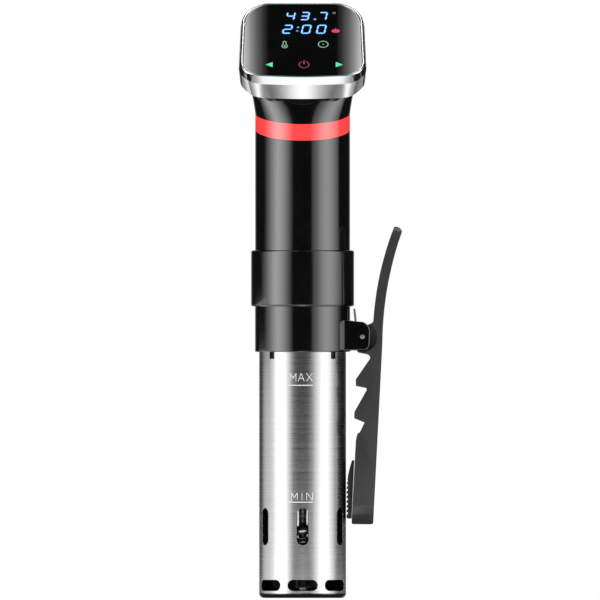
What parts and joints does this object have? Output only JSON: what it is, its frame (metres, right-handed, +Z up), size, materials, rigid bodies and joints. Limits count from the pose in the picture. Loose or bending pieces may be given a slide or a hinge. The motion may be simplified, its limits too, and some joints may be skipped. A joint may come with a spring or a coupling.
{
  "type": "sous vide circulator",
  "caption": "Stick immersion circulator: steel sleeve with water ports, glossy black handle, red light ring, tilted touch display head and sprung pot clamp",
  "frame": {"origin": "centre of the steel sleeve's flat bottom, on the sleeve's axis", "axes": "+Z up along the sleeve's axis, -Y the display side that faces the user, +X the side of the pot clamp"},
  "size_m": [0.1054, 0.0697, 0.3836],
  "materials": {
    "black_glass": "black-backed glass",
    "black_moulding": "matt moulded",
    "black_rubber": "soft matt",
    "brushed_sleeve": "brushed round the axis",
    "chrome_trim": "bright plated",
    "circuit_board": "green board",
    "component_grey": "moulded component",
    "display_window": "tinted window",
    "ferrite": "sintered",
    "gloss_black": "high gloss",
    "led_face": "LED lens",
    "plain_steel": "plain steel",
    "red_diffuser": "translucent, lit",
    "ribbon_grey": "flat cable",
    "turned_aluminium": "turned",
    "white_bearing_plastic": "low-friction plastic"
  },
  "bodies": {
    "housing": {"bayonet_pins": "plain_steel", "board_carrier": "black_moulding", "bulkhead": "black_moulding", "bulkhead_screws": "plain_steel", "buzzer": "component_grey", "chrome_bezel": "chrome_trim", "clamp_pin": "plain_steel", "clamp_spring": "plain_steel", "cord_gland": "black_rubber", "display_board": "circuit_board", "electrode_insulators": "white_bearing_plastic", "filter_capacitor": "component_grey", "glass_gasket": "black_rubber", "grip_collar": "gloss_black", "handle_shell": "gloss_black", "head_chassis": "black_moulding", "head_screws": "plain_steel", "heater_coil": "plain_steel", "heater_fittings": "plain_steel", "heater_relay": "component_grey", "hinge_washers": "white_bearing_plastic", "level_electrodes": "plain_steel", "light_ring": "red_diffuser", "lower_collar": "gloss_black", "main_board": "circuit_board", "motor_bracket": "black_moulding", "motor_housing": "plain_steel", "motor_magnets": "ferrite", "motor_screws": "plain_steel", "neck_housing": "gloss_black", "power_transformer": "component_grey", "ribbon_cable": "ribbon_grey", "ring_board": "circuit_board", "ring_leds": "led_face", "segment_display": "display_window", "shaft_bearing": "plain_steel", "shaft_bushing": "white_bearing_plastic", "shaft_seal": "black_rubber", "shaft_tube": "plain_steel", "sleeve_seal": "black_rubber", "temperature_probe": "plain_steel", "terminal_block": "component_grey", "touch_glass": "black_glass", "touch_springs": "plain_steel"},
    "drive": {"drive_shaft": "plain_steel", "impeller": "black_moulding", "impeller_nut": "plain_steel", "shaft_coupler": "turned_aluminium", "motor_rotor": "plain_steel", "cooling_fan": "black_moulding"},
    "clamp_arm": {"clamp_lever": "gloss_black", "clamp_pad": "black_rubber"},
    "sleeve": {"steel_sleeve": "brushed_sleeve"}
  },
  "joints": [
    {"name": "impeller_spin", "type": "hinge", "parent": "housing", "child": "drive", "pos_m": [0, 0, 0.1], "axis": [0, 0, 1], "continuous": true},
    {"name": "clamp_hinge", "type": "hinge", "parent": "housing", "child": "clamp_arm", "pos_m": [0.0386, 0, 0.1685], "axis": [0, -1, 0], "range_deg": [0, 20], "stiffness_Nm_per_rad": 0.6, "springref_deg": -34.38, "deforming": ["clamp_spring"]},
    {"name": "sleeve_twist", "type": "hinge", "parent": "housing", "child": "sleeve", "pos_m": [0, 0, 0.1609], "axis": [0, 0, 1], "range_deg": [0, 18]}
  ]
}
